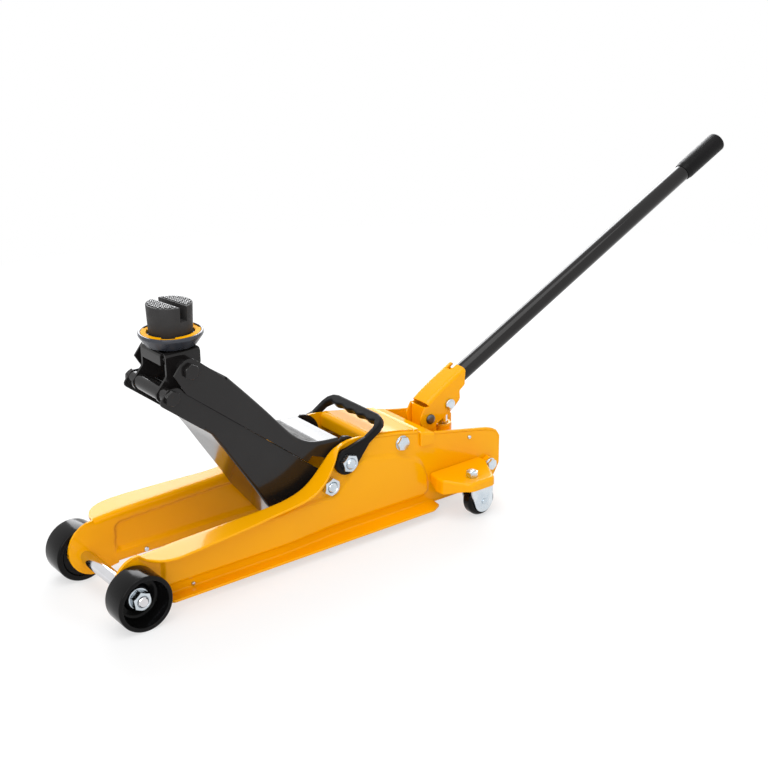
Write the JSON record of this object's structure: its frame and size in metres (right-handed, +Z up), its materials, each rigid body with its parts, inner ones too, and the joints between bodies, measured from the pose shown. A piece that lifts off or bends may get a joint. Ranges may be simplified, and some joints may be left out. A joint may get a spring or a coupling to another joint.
{
  "type": "car jack",
  "caption": "Low-profile trolley jack with a hydraulic lifting arm, a turning saddle, rear casters, a carrying handle and a pumping handle.",
  "frame": {"origin": "on the floor, under the middle of the jack's box", "axes": "+X to the rear, along the jack towards its handle; +Y to the right as seen from the handle; +Z up"},
  "size_m": [1.1112, 0.236, 0.435],
  "materials": {
    "yellow_paint": "gloss yellow-orange paint",
    "black_paint": "gloss black paint",
    "wheel_black": "gloss black paint",
    "dark_cast": "dark blue-grey, semi-gloss",
    "satin_black": "satin moulded",
    "zinc_plate": "bright zinc plate",
    "bright_steel": "ground and plated",
    "dark_steel": "blackened",
    "grey_cast": "grey painted casting",
    "pad_rubber": "matte, knurled on top"
  },
  "bodies": {
    "chassis": {"side_plate_right": "yellow_paint", "side_plate_left": "yellow_paint", "axle_washer_right": "zinc_plate", "axle_washer_left": "zinc_plate", "axle_nut_right": "zinc_plate", "axle_nut_left": "zinc_plate", "link_pivot_nut_right": "zinc_plate", "link_pivot_nut_left": "zinc_plate", "arm_pivot_nut_right": "zinc_plate", "arm_pivot_nut_left": "zinc_plate", "mount_bolt_right": "zinc_plate", "mount_bolt_left": "zinc_plate", "front_screw_right": "zinc_plate", "front_screw_left": "zinc_plate", "rear_screw_right": "zinc_plate", "rear_screw_left": "zinc_plate", "rear_bolt_right": "zinc_plate", "rear_bolt_left": "zinc_plate", "caster_bracket_right": "yellow_paint", "caster_bracket_left": "yellow_paint", "kingpin_right": "zinc_plate", "kingpin_left": "zinc_plate", "kingpin_nut_right": "zinc_plate", "kingpin_nut_left": "zinc_plate", "front_axle": "bright_steel", "top_cover": "yellow_paint", "handle_yoke": "yellow_paint", "link_pivot_shaft": "zinc_plate", "arm_pivot_bolt": "zinc_plate", "rear_cross_rod": "yellow_paint", "ram_cylinder": "grey_cast", "pump_block": "yellow_paint", "filler_plug": "pad_rubber"},
    "front_wheel_right": {"front_wheel_right": "wheel_black"},
    "front_wheel_left": {"front_wheel_left": "wheel_black"},
    "lift_arm": {"lift_arm": "black_paint", "lower_head_bolt": "black_paint"},
    "parallel_link": {"parallel_link": "black_paint", "upper_head_bolt": "black_paint"},
    "head": {"saddle_bracket": "black_paint"},
    "saddle": {"saddle": "dark_cast", "saddle_ring": "yellow_paint", "saddle_pad": "pad_rubber"},
    "ram": {"ram": "bright_steel"},
    "carry_handle": {"carry_handle": "satin_black"},
    "pump_lever": {"handle_socket": "yellow_paint", "socket_pin": "dark_steel", "socket_roller": "zinc_plate"},
    "pump_plunger": {"pump_plunger": "bright_steel"},
    "handle": {"handle_tube": "black_paint", "handle_grip": "satin_black"},
    "release_valve": {"release_valve": "bright_steel"},
    "caster_fork_right": {"caster_fork_right": "zinc_plate"},
    "caster_fork_left": {"caster_fork_left": "zinc_plate"},
    "caster_wheel_right": {"caster_wheel_right": "wheel_black"},
    "caster_wheel_left": {"caster_wheel_left": "wheel_black"}
  },
  "joints": [
    {"name": "front_wheel_right_roll", "type": "hinge", "parent": "chassis", "child": "front_wheel_right", "pos_m": [-0.52055, 0.079, 0.035], "axis": [0, 1, 0], "continuous": true},
    {"name": "front_wheel_left_roll", "type": "hinge", "parent": "chassis", "child": "front_wheel_left", "pos_m": [-0.52055, -0.079, 0.035], "axis": [0, 1, 0], "continuous": true},
    {"name": "arm_lift", "type": "hinge", "parent": "chassis", "child": "lift_arm", "pos_m": [-0.23125, 0, 0.0865], "axis": [0, 1, 0], "range_deg": [-52, 5]},
    {"name": "link_swing", "type": "hinge", "parent": "chassis", "child": "parallel_link", "pos_m": [-0.20655, 0, 0.1147], "axis": [0, 1, 0], "range_deg": [-52, 5]},
    {"name": "head_level", "type": "hinge", "parent": "lift_arm", "child": "head", "pos_m": [-0.44367, 0, 0.25462], "axis": [0, 1, 0], "range_deg": [-5, 52]},
    {"name": "saddle_turn", "type": "hinge", "parent": "head", "child": "saddle", "pos_m": [-0.41445, 0, 0.302], "axis": [0, 0, 1], "continuous": true},
    {"name": "ram_travel", "type": "slide", "parent": "chassis", "child": "ram", "axis": [-1, 0, 0], "range_m": [-0.0418, 0.0041]},
    {"name": "carry_handle_swing", "type": "hinge", "parent": "chassis", "child": "carry_handle", "pos_m": [-0.20655, 0, 0.1147], "axis": [0, 1, 0], "range_deg": [-9, 6]},
    {"name": "pump_stroke", "type": "hinge", "parent": "chassis", "child": "pump_lever", "pos_m": [-0.03458, 0, 0.11621], "axis": [0, 1, 0], "range_deg": [0, 24], "stiffness_Nm_per_rad": 1.8, "springref_deg": -91.67},
    {"name": "plunger_travel", "type": "slide", "parent": "chassis", "child": "pump_plunger", "axis": [0, 0, 1], "range_m": [-0.0153, 0]},
    {"name": "handle_turn", "type": "hinge", "parent": "pump_lever", "child": "handle", "pos_m": [0.03125, 0, 0.1613], "axis": [0.8922, 0, 0.4517], "range_deg": [0, 90]},
    {"name": "valve_turn", "type": "hinge", "parent": "chassis", "child": "release_valve", "pos_m": [0.02445, 0, 0.0665], "axis": [1, 0, 0], "range_deg": [0, 90]},
    {"name": "caster_right_swivel", "type": "hinge", "parent": "chassis", "child": "caster_fork_right", "pos_m": [-0.02855, 0.098, 0.05], "axis": [0, 0, 1], "continuous": true},
    {"name": "caster_right_roll", "type": "hinge", "parent": "caster_fork_right", "child": "caster_wheel_right", "pos_m": [-0.01655, 0.098, 0.022], "axis": [0, 1, 0], "continuous": true},
    {"name": "caster_left_swivel", "type": "hinge", "parent": "chassis", "child": "caster_fork_left", "pos_m": [-0.02855, -0.098, 0.05], "axis": [0, 0, 1], "continuous": true},
    {"name": "caster_left_roll", "type": "hinge", "parent": "caster_fork_left", "child": "caster_wheel_left", "pos_m": [-0.01655, -0.098, 0.022], "axis": [0, 1, 0], "continuous": true}
  ],
  "couplings": [
    {"joint": "link_swing", "follows": "arm_lift", "ratio": 1},
    {"joint": "head_level", "follows": "arm_lift", "ratio": -1},
    {"joint": "ram_travel", "follows": "arm_lift", "m_per_rad": 0.046},
    {"joint": "plunger_travel", "follows": "pump_stroke", "m_per_rad": -0.0363},
    {"joint": "valve_turn", "follows": "handle_turn", "ratio": 1}
  ]
}
